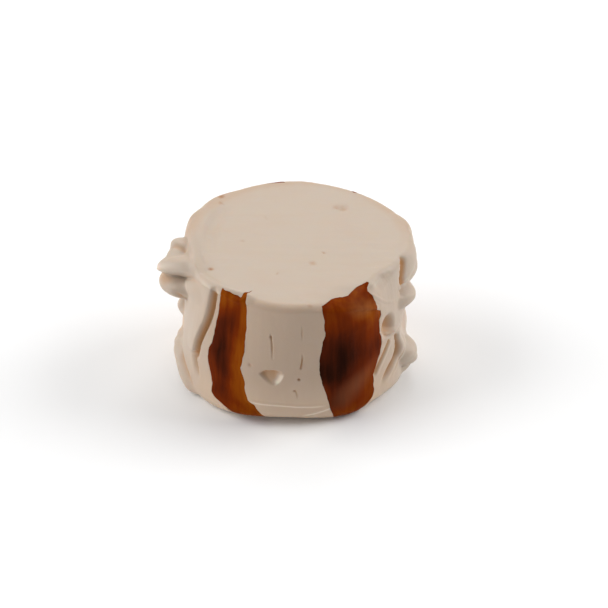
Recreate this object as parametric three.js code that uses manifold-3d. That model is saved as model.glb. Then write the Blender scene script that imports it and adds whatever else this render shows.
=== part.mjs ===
// Salt water taffy: one unwrapped piece, a short cut of striped, pulled rope.
// It stands on one cut face, and the wrapper's twists have crumpled its left and right sides.
// Millimetres, +Z up. The origin is the middle of the base, +X runs from crumple to crumple,
// and the front with its two wide stripes faces -Y.
import * as THREE from 'three';
import { mergeVertices } from 'three/addons/utils/BufferGeometryUtils.js';
import Module from 'manifold-3d';

// The rope and its two cuts
const ROPE_RADIUS = 11.6;
const CUT_HEIGHT = 14.9;
const TOP_EDGE = 0.8;
const BASE_EDGE = 1.4;

// The left crumple is the longer one, so the rope stands a little right of the middle
const ROPE_AXIS_X = 0.9;

// Radii of the squashed rope, every 30 degrees anticlockwise from +X, at three heights
const BASE_OUTLINE = [11.6, 11.2, 11.4, 11.8, 11.9, 12.1, 12.6, 13.3, 13.1, 12.1, 12.3, 11.8];
const WAIST_OUTLINE = [11.5, 11.6, 11.8, 12.2, 12.3, 12.4, 12.1, 12.7, 12.4, 12.1, 12.0, 11.6];
const TOP_OUTLINE = [12.3, 12.0, 11.9, 12.2, 12.2, 12.5, 11.9, 12.1, 11.6, 11.8, 11.6, 11.7];

// Rows and columns of the rope's faces; the columns crowd towards both sides and their front halves
const COLUMNS = 128;
const SIDE_CROWDING = 0.35;
const FRONT_CROWDING = 0.3;
const RIM_ROWS = 34;
const FLAT_RINGS = [0, 4.5, 8];

// Caramel stripes: angles of both edges at even steps from the base to the top,
// and the share of the way round the top's edge that they reach
const STRIPES = {
  stripe_front_left: {
    start: [239, 225.5, 220.5, 222, 224, 226],
    end: [251, 242, 240.5, 242, 242, 241.6],
    reach: 1,
  },
  stripe_front_right: {
    start: [288, 285, 282.3, 282, 284.3, 284],
    end: [313.5, 315.5, 320, 320.5, 319.5, 319],
    reach: 1,
  },
  stripe_back_right: {
    start: [46, 44, 43, 45, 47, 46],
    end: [66, 68, 70, 69, 70, 69],
    reach: 0.92,
  },
  stripe_back_left: {
    start: [104, 102, 101, 103, 101, 102],
    end: [136, 133, 132, 134, 135, 134],
    reach: 0.92,
  },
};
const STRIPE_END = 1.5;
const STRIPE_DEPTH = 1.5;
const STRIPE_EDGE_DEPTH = 0.4;
const STRIPE_GAP = 0.3;
const STRIPE_CELLS = [6, 20];
const CUTTER_OUTSIDE = 1.0;
const STRIPE_CORE_INSET = 4;

// Lobes and dents: angle and height of the middle, half width, half height and lift;
// a lower power gives a rounder lobe
const LOBE_POWER = 1.4;
const LOBES = {
  leftShoulder: { angle: 184, height: 13.4, half: [4.6, 2.8], lift: 0.9 },
  leftUpperLobe: { angle: 178, height: 14.0, half: [1.8, 1.4], lift: 0.7 },
  leftTongue: { angle: 185, height: 12.4, half: [2.4, 1.3], lift: 2.0 },
  leftLowerLip: { angle: 186, height: 10.6, half: [2.8, 1.5], lift: 2.4 },
  leftPocket: { angle: 192, height: 9.2, half: [1.2, 1.0], lift: -1.2 },
  leftPocketEdge: { angle: 183, height: 9.0, half: [1.4, 1.2], lift: 0.6 },
  leftNotch: { angle: 183, height: 6.2, half: [1.6, 1.1], lift: -0.5 },
  leftBackLobe: { angle: 163, height: 10.2, half: [2.6, 1.9], lift: 1.1 },
  leftBackFoot: { angle: 166, height: 3.8, half: [2.8, 2.2], lift: 0.9 },
  rightShoulder: { angle: 352, height: 13.4, half: [2.6, 2.0], lift: 0.7 },
  rightKnob: { angle: 343, height: 11.0, half: [1.8, 1.4], lift: 1.5 },
  rightRecess: { angle: 323, height: 9.4, half: [1.0, 1.3], lift: -1.1 },
  rightWaist: { angle: 353, height: 6.6, half: [2.8, 1.6], lift: -0.7 },
  rightFoot: { angle: 350, height: 2.6, half: [3.2, 2.2], lift: 1.4 },
  rightBackLobe: { angle: 14, height: 10.4, half: [2.4, 1.8], lift: 1.0 },
  rightBackFoot: { angle: 18, height: 3.6, half: [2.6, 2.0], lift: 0.8 },
};

// Folds on the side: a path of angles and heights with a ridge on its left, seen from outside,
// and a groove along it; near and far are the groove's widths below the ridge and away from it
const FOLDS = {
  tongueEdge: {
    path: [[188, 11.6], [192, 11.7], [198, 12.2], [205, 13.2], [214, 14.3]],
    lift: 0.6, ridge: 1.0, depth: 1.5, near: 0.8, far: 1.5, lean: 0.5, fade: [0.2, 0.5],
  },
  flapEdge: {
    path: [[214.5, 3.0], [212.5, 4.8], [214, 6.4], [218.5, 8.9], [221.5, 12.1], [223, 14.7]],
    lift: 0.45, ridge: 2.4, depth: 1.2, near: 1.3, far: 0.6, lean: 0.1, fade: [0.3, 0.15],
  },
  leftFootEdge: {
    path: [[216, 0.8], [206, 2.0], [195, 3.6], [187, 5.4]],
    lift: 0.7, ridge: 1.5, depth: 0.6, near: 0.8, far: 0.9, lean: 0, fade: [0.25, 0.3],
  },
  leftBackPleat: {
    path: [[146, 13.4], [156, 11.8], [170, 8.2]],
    lift: 0.5, ridge: 1.5, depth: 0.9, near: 1.1, far: 1.0, lean: 0.1, fade: [0.35, 0.3],
  },
  leftBackLowPleat: {
    path: [[148, 2.6], [158, 5.0], [172, 7.4]],
    lift: 0.5, ridge: 1.5, depth: 0.9, near: 1.1, far: 1.0, lean: 0.1, fade: [0.35, 0.3],
  },
  rightSlit: {
    path: [[350, 15.3], [345, 14.6], [340.5, 13.6], [337, 12.4]],
    lift: 0, ridge: 1.0, depth: 1.2, near: 1.0, far: 0.9, lean: 0, fade: [0.15, 0.2],
  },
  rightFacetEdge: {
    path: [[314, 14.2], [321.5, 13.0], [334, 10.9], [345, 9.3]],
    lift: 0.4, ridge: 0.9, depth: 0.15, near: 0.8, far: 0.9, lean: 0, fade: [0.25, 0.35],
  },
  rightRecessEdge: {
    path: [[322, 8.0], [335, 6.7], [350, 5.9]],
    lift: 0.45, ridge: 0.9, depth: 0.2, near: 0.8, far: 0.9, lean: 0, fade: [0.25, 0.6],
  },
  rightInnerGroove: {
    path: [[326.5, 7.2], [319.7, 5.8], [313, 3.5]],
    lift: 0.3, ridge: 1.0, depth: 0.6, near: 0.9, far: 0.8, lean: 0, fade: [0.25, 0.35],
  },
  rightFootEdge: {
    path: [[333.5, 7.0], [335.5, 5.1], [329.8, 3.2], [320, 1.5]],
    lift: 0.6, ridge: 1.5, depth: 1.1, near: 1.1, far: 0.9, lean: 0.1, fade: [0.25, 0.35],
  },
  rightBackPleat: {
    path: [[6, 8.0], [18, 11.4], [30, 13.2]],
    lift: 0.5, ridge: 1.5, depth: 0.9, near: 1.1, far: 1.0, lean: 0.1, fade: [0.3, 0.35],
  },
  rightBackLowPleat: {
    path: [[8, 7.0], [22, 5.2], [34, 2.6]],
    lift: 0.5, ridge: 1.5, depth: 0.9, near: 1.0, far: 1.1, lean: 0.1, fade: [0.3, 0.35],
  },
};

// Folds on the top face: paths of angles and radii
const TOP_FOLDS = {
  leftTrough: {
    path: [[136, 10.2], [164, 9.2], [196, 8.9]],
    lift: 0, ridge: 1.0, depth: 0.3, near: 1.6, far: 1.6, lean: 0, fade: [0.25, 0.35],
  },
  leftRidge: {
    path: [[207, 10.8], [178, 10.4], [154, 11.3]],
    lift: 0.35, ridge: 0.9, depth: 0, near: 0.5, far: 0.5, lean: 0, fade: [0.25, 0.35],
  },
};
const PATH_STEPS = 12;

// The top's rim slopes down over the right front stripe and towards the left crumple
const RIM_SLOPES = [
  { angle: 305, half: 32, innerRadius: 8.6, width: 3.0, drop: 1.0 },
  { angle: 186, half: 30, innerRadius: 9.8, width: 2.8, drop: 1.2 },
];
const RIM_SLOPE_FROM_HEIGHT = 11.0;

// The base's edge lifts off under both crumples
const BASE_LIFTS = [
  { angle: 190, half: 36, lift: 0.9 },
  { angle: 352, half: 36, lift: 0.6 },
];
const BASE_LIFT_RADIUS = 7.5;
const BASE_LIFT_WIDTH = 4.0;
const BASE_LIFT_HEIGHT = 7.0;

// Exponent of the rounded box that gives the outward direction at any point
const OUTWARD_POWER = 7;

const CREAM = new THREE.Color(205 / 255, 188 / 255, 170 / 255).convertSRGBToLinear();
const CARAMEL = new THREE.Color(100 / 255, 42 / 255, 14 / 255).convertSRGBToLinear();

const wasm = await Module();
wasm.setup();

const clamp01 = (value) => Math.min(Math.max(value, 0), 1);
const bump = (t) => (1 - Math.min(t * t, 1)) ** 2;
const dome = (t) => (1 - Math.min(t * t, 1)) ** LOBE_POWER;
const ease = (t) => clamp01(t) ** 2 * (3 - 2 * clamp01(t));
const angleOf = (p) => THREE.MathUtils.radToDeg(Math.atan2(p.y, p.x));
const turnFrom = (angle, middle) => THREE.MathUtils.euclideanModulo(angle - middle + 180, 360) - 180;

// Smooth curve through four neighbouring values, at f between the middle two
function between(a, b, c, d, f) {
  const slope = c - a + f * (2 * a - 5 * b + 4 * c - d + f * (3 * (b - c) + d - a));
  return b + 0.5 * f * slope;
}

// A radius of a closed outline at any angle
function outlineRadius(radii, angle) {
  const count = radii.length;
  const place = (THREE.MathUtils.euclideanModulo(angle, 360) / 360) * count;
  const index = Math.floor(place);
  const value = (step) => radii[(index + step + count) % count];
  return between(value(-1), value(0), value(1), value(2), place - index);
}

// A value at a share of the way along an open list
function along(values, share) {
  const last = values.length - 1;
  const place = clamp01(share) * last;
  const index = Math.min(Math.floor(place), last - 1);
  const value = (step) => values[Math.min(Math.max(index + step, 0), last)];
  return between(value(-1), value(0), value(1), value(2), place - index);
}

// Radius of the squashed rope at an angle and height
function ropeRadius(angle, height) {
  const t = clamp01(height / CUT_HEIGHT);
  const base = outlineRadius(BASE_OUTLINE, angle) * (1 - t) * (1 - 2 * t);
  const waist = outlineRadius(WAIST_OUTLINE, angle) * 4 * t * (1 - t);
  const top = outlineRadius(TOP_OUTLINE, angle) * t * (2 * t - 1);
  return base + waist + top;
}

function polarPoint(angle, radius, height) {
  const turn = THREE.MathUtils.degToRad(angle);
  return new THREE.Vector3(radius * Math.cos(turn), radius * Math.sin(turn), height);
}

const sidePoint = (angle, height) => polarPoint(angle, ropeRadius(angle, height), height);
const topPoint = (angle, radius) => polarPoint(angle, radius, CUT_HEIGHT);

// Outward direction at a point near the surface, turning smoothly round the edges
function outward(p) {
  const radius = Math.max(Math.hypot(p.x, p.y), 1e-6);
  const reach = ropeRadius(angleOf(p), p.z);
  const rise = (p.z - CUT_HEIGHT / 2) / (CUT_HEIGHT / 2);
  const side = (radius / reach) ** (OUTWARD_POWER - 1) / reach;
  const cap = (Math.abs(rise) ** (OUTWARD_POWER - 1) * Math.sign(rise)) / (CUT_HEIGHT / 2);
  return new THREE.Vector3((side * p.x) / radius, (side * p.y) / radius, cap).normalize();
}

// A fold's path as a chain of points on the rope's surface
function foldChain(path, toPoint) {
  const first = path.map((pair) => pair[0]);
  const second = path.map((pair) => pair[1]);
  const count = PATH_STEPS * (path.length - 1);
  return Array.from({ length: count + 1 }, (_, i) =>
    toPoint(along(first, i / count), along(second, i / count)));
}

const sideFolds = Object.values(FOLDS).map((fold) => ({ ...fold, chain: foldChain(fold.path, sidePoint) }));
const topFolds = Object.values(TOP_FOLDS).map((fold) => ({ ...fold, chain: foldChain(fold.path, topPoint) }));
const allFolds = [...sideFolds, ...topFolds];

// The closest place on a chain, with the travel direction there and the share of the way
function closestOnChain(chain, p) {
  const piece = new THREE.Line3();
  const spot = new THREE.Vector3();
  const best = { distance: Infinity, spot: new THREE.Vector3(), travel: new THREE.Vector3(), share: 0 };
  for (let i = 0; i + 1 < chain.length; i += 1) {
    piece.set(chain[i], chain[i + 1]);
    const t = piece.closestPointToPointParameter(p, true);
    const distance = piece.at(t, spot).distanceTo(p);
    if (distance < best.distance) {
      best.distance = distance;
      best.spot.copy(spot);
      piece.delta(best.travel).normalize();
      best.share = (i + t) / (chain.length - 1);
    }
  }
  return best;
}

// How far a fold moves a point
function foldMove(fold, p, normal) {
  const near = closestOnChain(fold.chain, p);
  const across = new THREE.Vector3().crossVectors(normal, near.travel);
  const left = across.dot(new THREE.Vector3().subVectors(p, near.spot)) >= 0;
  const offset = left ? near.distance : -near.distance;
  const weight = ease(near.share / fold.fade[0]) * ease((1 - near.share) / fold.fade[1]);
  const up = fold.lift * bump((offset - 0.6 * fold.ridge) / fold.ridge);
  const down = fold.depth * bump(offset / (left ? fold.near : fold.far));
  const lean = fold.lean * bump((offset - 0.5 * fold.ridge) / fold.ridge);
  return normal.clone().multiplyScalar(weight * (up - down)).addScaledVector(across, -weight * lean);
}

// How far a lobe or dent moves a point
function lobeMove(lobe, p, normal) {
  const turn = THREE.MathUtils.degToRad(lobe.angle);
  const offset = p.clone().sub(sidePoint(lobe.angle, lobe.height));
  const radial = offset.x * Math.cos(turn) + offset.y * Math.sin(turn);
  const around = offset.y * Math.cos(turn) - offset.x * Math.sin(turn);
  const depthScale = Math.max(...lobe.half);
  const t = Math.hypot(around / lobe.half[0], offset.z / lobe.half[1], radial / depthScale);
  return normal.clone().multiplyScalar(lobe.lift * dome(t));
}

// How far the sloping rim and the lifted base edge move a point up
function edgeRise(p) {
  const radius = Math.hypot(p.x, p.y);
  const angle = angleOf(p);
  const rimHeight = clamp01((p.z - RIM_SLOPE_FROM_HEIGHT) / (CUT_HEIGHT - RIM_SLOPE_FROM_HEIGHT));
  let rise = 0;
  for (const rim of RIM_SLOPES) {
    const rimWay = clamp01((radius - rim.innerRadius) / rim.width) ** 1.5;
    rise -= rim.drop * bump(turnFrom(angle, rim.angle) / rim.half) * rimWay * rimHeight;
  }
  const baseWay = clamp01((radius - BASE_LIFT_RADIUS) / BASE_LIFT_WIDTH) ** 2;
  const baseHeight = clamp01(1 - p.z / BASE_LIFT_HEIGHT) ** 2;
  for (const edge of BASE_LIFTS) {
    rise += edge.lift * bump(turnFrom(angle, edge.angle) / edge.half) * baseWay * baseHeight;
  }
  return rise;
}

// Moves a point of the plain round rope to its place on the squashed, crumpled piece
function crumple(point) {
  const squash = ropeRadius(angleOf(point), point.z) / ROPE_RADIUS;
  const p = new THREE.Vector3(point.x * squash, point.y * squash, point.z);
  const normal = outward(p);
  const moved = p.clone();
  for (const lobe of Object.values(LOBES)) {
    moved.add(lobeMove(lobe, p, normal));
  }
  for (const fold of allFolds) {
    moved.add(foldMove(fold, p, normal));
  }
  moved.z = Math.max(moved.z + edgeRise(p), 0);
  moved.x += ROPE_AXIS_X;
  return moved;
}

// A solid for cutting, from a closed geometry with merged corners
function solidOf(geometry) {
  geometry.deleteAttribute('normal');
  geometry.deleteAttribute('uv');
  const merged = mergeVertices(geometry);
  const corners = merged.index.array;
  const triVerts = [];
  for (let i = 0; i < corners.length; i += 3) {
    const [a, b, c] = corners.slice(i, i + 3);
    if (a !== b && b !== c && c !== a) {
      triVerts.push(a, b, c);
    }
  }
  const vertProperties = new Float32Array(merged.attributes.position.array);
  return new wasm.Manifold(new wasm.Mesh({ numProp: 3, vertProperties, triVerts: new Uint32Array(triVerts) }));
}

// A solid as a crumpled mesh with its name and colour
function taffyMesh(name, solid, color, roughness) {
  const { vertProperties, triVerts } = solid.getMesh();
  const geometry = new THREE.BufferGeometry();
  geometry.setAttribute('position', new THREE.BufferAttribute(Float32Array.from(vertProperties), 3));
  geometry.setIndex(new THREE.BufferAttribute(Uint32Array.from(triVerts), 1));
  const { position } = geometry.attributes;
  const p = new THREE.Vector3();
  for (let i = 0; i < position.count; i += 1) {
    position.setXYZ(i, ...crumple(p.fromBufferAttribute(position, i)));
  }
  geometry.computeVertexNormals();
  const mesh = new THREE.Mesh(geometry, new THREE.MeshStandardMaterial({ color, roughness, metalness: 0 }));
  mesh.name = name;
  return mesh;
}

// The rope's rounded edge and side, from the rim of the base to the rim of the top
function rimCurve(inset) {
  const curve = new THREE.Path();
  curve.moveTo(ROPE_RADIUS - inset, 0);
  curve.lineTo(ROPE_RADIUS - BASE_EDGE, 0);
  curve.absarc(ROPE_RADIUS - BASE_EDGE, BASE_EDGE, BASE_EDGE, -Math.PI / 2, 0);
  curve.lineTo(ROPE_RADIUS, CUT_HEIGHT - TOP_EDGE);
  curve.absarc(ROPE_RADIUS - TOP_EDGE, CUT_HEIGHT - TOP_EDGE, TOP_EDGE, 0, Math.PI / 2);
  curve.lineTo(ROPE_RADIUS - inset, CUT_HEIGHT);
  return curve;
}

// Splits each four-cornered face along the diagonal that lies closer to the crumpled surface
function splitAlongFolds(geometry) {
  const { position } = geometry.attributes;
  const corner = (i) => new THREE.Vector3().fromBufferAttribute(position, i);
  const crumpled = Array.from({ length: position.count }, (_, i) => crumple(corner(i)));
  const middle = (points, i, j) => points(i).clone().add(points(j)).multiplyScalar(0.5);
  const faces = geometry.index.array;
  for (let i = 0; i < faces.length; i += 6) {
    const [a, b, d, c] = faces.slice(i, i + 4);
    const target = crumple(middle(corner, b, d).add(middle(corner, a, c)).multiplyScalar(0.5));
    const miss = (p, q) => middle((k) => crumpled[k], p, q).distanceTo(target);
    if (miss(a, c) < miss(b, d)) {
      faces.set([a, b, c, c, d, a], i);
    }
  }
}

// The plain round rope between its two cuts
function plainRope() {
  const rim = rimCurve(2 * BASE_EDGE).getSpacedPoints(RIM_ROWS);
  const base = FLAT_RINGS.map((radius) => new THREE.Vector2(radius, 0));
  const top = FLAT_RINGS.map((radius) => new THREE.Vector2(radius, CUT_HEIGHT)).reverse();
  const geometry = new THREE.LatheGeometry([...base, ...rim, ...top], COLUMNS).rotateX(Math.PI / 2);
  const { position } = geometry.attributes;
  for (let i = 0; i < position.count; i += 1) {
    const turn = Math.atan2(position.getY(i), position.getX(i));
    const sideShift = (SIDE_CROWDING / 2) * Math.sin(2 * turn);
    const frontShift = (FRONT_CROWDING / 3) * Math.cos(3 * turn);
    const crowded = turn - sideShift - frontShift;
    const radius = Math.hypot(position.getX(i), position.getY(i));
    position.setXY(i, radius * Math.cos(crowded), radius * Math.sin(crowded));
  }
  splitAlongFolds(geometry);
  return solidOf(geometry);
}

// A stripe in the rope's face, thick in the middle and thin at its edges.
// The cutter for its bed is the same shape, grown by the gap and reaching outside.
function stripeSolid({ start, end, reach }, grow, outside) {
  const rim = rimCurve(STRIPE_END + grow);
  const top = reach + (reach < 1 ? grow / rim.getLength() : 0);
  const geometry = new THREE.BoxGeometry(1, 1, 1, ...STRIPE_CELLS, 1);
  const { position } = geometry.attributes;
  const growTurn = THREE.MathUtils.radToDeg(grow / ROPE_RADIUS);
  for (let i = 0; i < position.count; i += 1) {
    const share = position.getX(i) + 0.5;
    const spot = rim.getPointAt(top * (position.getY(i) + 0.5));
    const height = spot.y / CUT_HEIGHT;
    const angle = THREE.MathUtils.lerp(along(start, height) - growTurn, along(end, height) + growTurn, share);
    const coreHeight = THREE.MathUtils.clamp(spot.y, STRIPE_CORE_INSET, CUT_HEIGHT - STRIPE_CORE_INSET);
    const core = new THREE.Vector2(ROPE_RADIUS - STRIPE_CORE_INSET, coreHeight);
    const inward = core.sub(spot).normalize();
    const thickness = THREE.MathUtils.lerp(STRIPE_EDGE_DEPTH, STRIPE_DEPTH, bump(2 * share - 1));
    spot.addScaledVector(inward, position.getZ(i) < 0 ? thickness + grow : -outside);
    position.setXYZ(i, ...polarPoint(angle, spot.x, spot.y));
  }
  return solidOf(geometry);
}

const taffy = new THREE.Group();
let body = plainRope();
for (const [name, stripe] of Object.entries(STRIPES)) {
  body = body.subtract(stripeSolid(stripe, STRIPE_GAP, CUTTER_OUTSIDE));
  taffy.add(taffyMesh(name, stripeSolid(stripe, 0, 0), CARAMEL, 0.35));
}
taffy.add(taffyMesh('taffy_body', body, CREAM, 0.45));

export default taffy;
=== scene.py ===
# Salt water taffy: the looks of one unwrapped piece of striped, pulled rope.
import math

import bmesh
import bpy
import numpy as np
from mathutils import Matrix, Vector, noise


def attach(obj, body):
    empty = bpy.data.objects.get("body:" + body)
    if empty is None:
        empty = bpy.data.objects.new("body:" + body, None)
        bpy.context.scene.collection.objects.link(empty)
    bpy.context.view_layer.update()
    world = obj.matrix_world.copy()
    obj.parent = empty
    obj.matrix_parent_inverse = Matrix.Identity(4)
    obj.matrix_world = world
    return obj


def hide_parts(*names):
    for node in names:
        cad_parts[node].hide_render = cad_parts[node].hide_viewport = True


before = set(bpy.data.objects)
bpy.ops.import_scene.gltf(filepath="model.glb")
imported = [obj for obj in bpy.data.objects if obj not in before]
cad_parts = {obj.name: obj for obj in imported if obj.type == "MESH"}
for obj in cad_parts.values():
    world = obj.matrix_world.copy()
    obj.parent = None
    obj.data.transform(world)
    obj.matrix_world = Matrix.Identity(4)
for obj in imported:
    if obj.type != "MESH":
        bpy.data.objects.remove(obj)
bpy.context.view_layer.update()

# Sizes are in millimetres until a mesh is finished
METRES = 0.001

# The rope and its two cuts
ROPE_RADIUS = 11.6
CUT_HEIGHT = 14.9
TOP_EDGE = 0.8
BASE_EDGE = 1.4

# The left crumple is the longer one, so the rope stands a little right of the middle
ROPE_AXIS_X = 0.9

# Radii of the squashed rope at even angles anticlockwise from +X, at three heights
BASE_OUTLINE = [11.6, 11.2, 11.4, 11.8, 11.9, 12.1, 12.6, 12.9, 13.0, 12.05, 12.15, 12.05]
WAIST_OUTLINE = [11.5, 11.6, 11.8, 12.2, 12.3, 12.4, 11.92, 12.7, 12.4, 12.1, 12.0, 11.6]
TOP_OUTLINE = [12.3, 12.4, 12.2, 12.0, 11.9, 12.0, 12.2, 12.3, 12.3, 12.8, 12.45, 12.2,
               11.9, 12.0, 12.1, 11.9, 11.6, 11.7, 11.8, 11.7, 11.6, 11.3, 10.8, 11.4]

# Rows and columns of the rope's faces; the columns crowd towards the front
COLUMNS = 470
FRONT_CROWDING = 0.5
SIDE_STEP = 0.1
TOP_STEP = 0.36
BASE_STEP = 0.9
EDGE_SEGMENTS = 12
MERGE_DISTANCE = 1e-4

# Creases sharper than these angles stay sharp in the shading
BODY_SHARP_DEGREES = 50
STRIPE_SHARP_DEGREES = 60

# Caramel stripes. Each edge is a list of runs along the rope's profile, from the base to the top, with
# their angles; the top is how far past the side's end the stripe reaches, at even steps across.
# Wobble is how ragged the edges are, wrinkle how uneven the face is, and tone how amber the caramel is.
# A pool lies at a share across and up; it is darker than the rest, or lighter, and may slope and carry a
# painted sheen, a reflection painted into its colour.
STRIPES = {
    "stripe_front_left": dict(
        start=[(0, 243), (1.35, 237.5), (1.9, 235), (2.38, 231.6), (2.74, 227.8), (3.2, 226), (4.4, 226),
               (5.8, 224.2), (7.3, 222.8), (8.4, 223.2), (9.2, 225), (10.2, 225.8), (13, 227.4),
               (14.5, 228.2), (15.8, 227.7), (17.4, 227.5)],
        end=[(0, 256), (1.4, 254), (2.1, 252), (2.7, 250), (3.1, 248.8), (3.35, 246.8), (3.6, 245.6),
             (4.4, 245), (6.0, 244), (7.5, 241.8),
             (9.5, 243.2), (11.6, 243.8), (14.5, 243.6), (15.5, 242.8), (16.2, 242.2), (17.4, 241.5)],
        top=[0.92, 0.9, 0.86, 0.82, 0.79, 0.78, 0.77, 0.76, 0.8, 1.5, 2.2],
        wobble=0.10,
        wrinkle=0.03,
        tone=0.785,
        pools=[dict(at=(0.31, 0.55), half=(0.75, 0.66), darker=0.63)],
    ),
    "stripe_front_right": dict(
        start=[(0, 290), (1.4, 288.3), (2.9, 286.4), (4.4, 284.7), (5.8, 282.6), (7.3, 280.9), (8.7, 281),
               (10.2, 281.7), (10.8, 282.4), (12, 284), (13.7, 283.5), (14.9, 282.7), (17.4, 282.7)],
        end=[(0, 303), (1.4, 306), (2.2, 309.5), (2.9, 311.4), (4.4, 312), (5.2, 311.4), (5.8, 312.6),
             (7.3, 316.6), (8.4, 319), (9.2, 318.8), (9.8, 317.2), (11.4, 317.4), (11.8, 319.2),
             (12.5, 319.2), (13, 316.2), (14.3, 315.5), (15.3, 313.2), (15.9, 311.6),
             (16.2, 313), (16.6, 318), (17.4, 320)],
        top=[0.8, 1.15, 1.7, 1.7, 1.65, 1.6, 1.9, 2.0, 1.95, 1.75, 1.5],
        wobble=0.14,
        wrinkle=0.07,
        tone=0.54,
        pools=[
            dict(at=(0.10, 0.48), half=(1.05, 0.43), darker=0.44),
            dict(at=(0.56, 0.50), half=(0.26, 0.24), darker=-0.13),
            dict(at=(0.03, 0.50), half=(0.20, 0.25), darker=0.06),
            dict(at=(0.10, 0.28), half=(0.34, 0.13), darker=-0.18),
            dict(at=(0.85, 0.82), half=(0.60, 0.17), darker=-0.17),
            dict(at=(0.05, 0.88), half=(0.20, 0.16), darker=-0.12),
            dict(at=(0.36, 0.88), half=(0.16, 0.12), darker=0.10),
            # These two pools carry painted sheen, reflections painted into the caramel
            dict(at=(0.72, 0.92), half=(0.40, 0.12), darker=-0.18, slope=-0.1, painted_sheen=0.45),
            dict(at=(0.60, 0.28), half=(0.66, 0.16), darker=-0.04, slope=0.25, painted_sheen=0.50),
            dict(at=(0.30, 0.05), half=(0.80, 0.12), darker=-0.14),
            dict(at=(0.82, 0.46), half=(0.28, 0.20), darker=0.09),
        ],
    ),
    "stripe_back_right": dict(
        start=[(0, 46), (3, 45), (6, 44), (9, 43), (12, 45), (15, 47), (17.4, 46)],
        end=[(0, 66), (3, 67), (6, 68), (9, 70), (12, 69), (15, 70), (17.4, 69)],
        top=[0.3, 0.4, 0.5, 1.1, 0.5, 0.4, 0.3],
        wobble=0.14,
        wrinkle=0.05,
        tone=0.62,
        pools=[dict(at=(0.55, 0.55), half=(0.60, 0.45), darker=0.45)],
    ),
    "stripe_back_left": dict(
        start=[(0, 103), (3, 102), (6, 101), (9, 100), (12, 100), (15, 97), (17.4, 96)],
        end=[(0, 136), (3, 134), (6, 133), (9, 132), (12, 134), (15, 135), (17.4, 134)],
        top=[1.2, 1.0, 0.4, 0.3, 0.3, 0.4, 0.6],
        wobble=0.14,
        wrinkle=0.05,
        tone=0.60,
        pools=[
            dict(at=(0.40, 0.45), half=(0.70, 0.40), darker=0.45),
            dict(at=(0.75, 0.75), half=(0.3, 0.3), darker=0.1, painted_sheen=0.2),
        ],
    ),
}
STRIPE_BASE_INSET = 0.1
STRIPE_DEPTH = 1.5
STRIPE_EDGE_DEPTH = 0.4
STRIPE_CELLS = (26, 150)
STRIPE_EDGE_DIP = 0.02
STRIPE_EDGE_WIDTH = 0.3
STRIPE_CORE_INSET = 4.0

# The bed of a stripe is a little wider and deeper than the stripe, and its cutter reaches outside
BED_GAP = 0.01
BED_DEPTH_GAP = 0.1
CUTTER_OUTSIDE = 1.0

# Ragged edges: lengths of the long and the finer waves, how much the finer ones count beside the long
# ones, and the length that the top's nibbles are spread over
RAGGED_WAVE = 1.5
NIBBLE_WAVE = 0.5
NIBBLE_SHARE = 0.5
TOP_NIBBLE_SPREAD = 8

# The caramel's tone: strengths of its blotches and streaks, and the sizes of their waves across and up
BLOTCH_STRENGTH = 0.08
BLOTCH_WAVES = (0.33, 0.2, 1)
STREAK_STRENGTH = 0.07
STREAK_WAVES = (0.11, 0.8, 1)
FINE_STREAK_STRENGTH = 0.04
FINE_STREAK_WAVES = (0.033, 0.4, 1)
POOL_RAGGEDNESS = 0.2

# Seeds of the noise: the first stripe's, and the step to the next stripe
FIRST_STRIPE_SEED = 0.37
STRIPE_SEED_STEP = 10

# Lobes and dents: angle and height of the middle, half width and half height, and lift;
# the lower the power, the steeper the sides; the painted shading is how much painted shade darkens and
# warms a dent's colour
LOBE_POWER = 1.4
HOLLOW_PAINTED_SHADING = 0.25
LOBES = {
    "left_shoulder": dict(angle=184, height=13.4, half=(4.6, 2.8), lift=0.16),
    "left_upper_lobe": dict(angle=178.4, height=13.8, half=(2.0, 1.05), lift=1.55),
    "left_crevice": dict(angle=199, height=12.2, half=(1.5, 0.8), lift=0.15),
    "left_lower_lip": dict(angle=188.1, height=11.4, half=(2.9, 1.37), lift=2.65, power=0.8),
    "left_pocket": dict(angle=188.5, height=8.8, half=(0.7, 1.4), lift=-0.9, painted_shading=0.5),
    "left_pocket_edge": dict(angle=183.5, height=7.4, half=(1.6, 1.8), lift=0.75),
    "left_foot": dict(angle=186, height=3.2, half=(3.0, 1.8), lift=0.2),
    "left_notch": dict(angle=180, height=6.0, half=(3.4, 1.8), lift=-0.6, painted_shading=0),
    "left_back_lobe": dict(angle=160, height=10.4, half=(3.2, 1.7), lift=0.8),
    "left_back_foot": dict(angle=164, height=3.6, half=(2.8, 2.2), lift=0.3),
    "flap_top": dict(angle=207, height=12.8, half=(2.2, 1.3), lift=0.25),
    "right_shoulder": dict(angle=355, height=13.1, half=(2.6, 2.1), lift=0.62),
    "right_knob": dict(angle=348.5, height=9.9, half=(2.3, 1.3), lift=1.1),
    "right_recess": dict(angle=325.4, height=8.9, half=(1.5, 1.6), lift=-1.0, power=1.7, painted_shading=0.85),
    "right_waist": dict(angle=353, height=6.6, half=(2.8, 1.6), lift=-0.7),
    "right_foot": dict(angle=345, height=3.3, half=(2.2, 1.6), lift=1.35, power=1.2),
    "right_foot_low": dict(angle=350, height=1.6, half=(2.8, 1.5), lift=0.8),
    "right_thigh": dict(angle=338, height=4.8, half=(1.6, 1.6), lift=0.5),
    "right_back_lobe": dict(angle=15, height=10.4, half=(3.2, 1.7), lift=0.7),
    "right_back_foot": dict(angle=19, height=3.6, half=(3.4, 1.9), lift=0.6),
}
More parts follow.
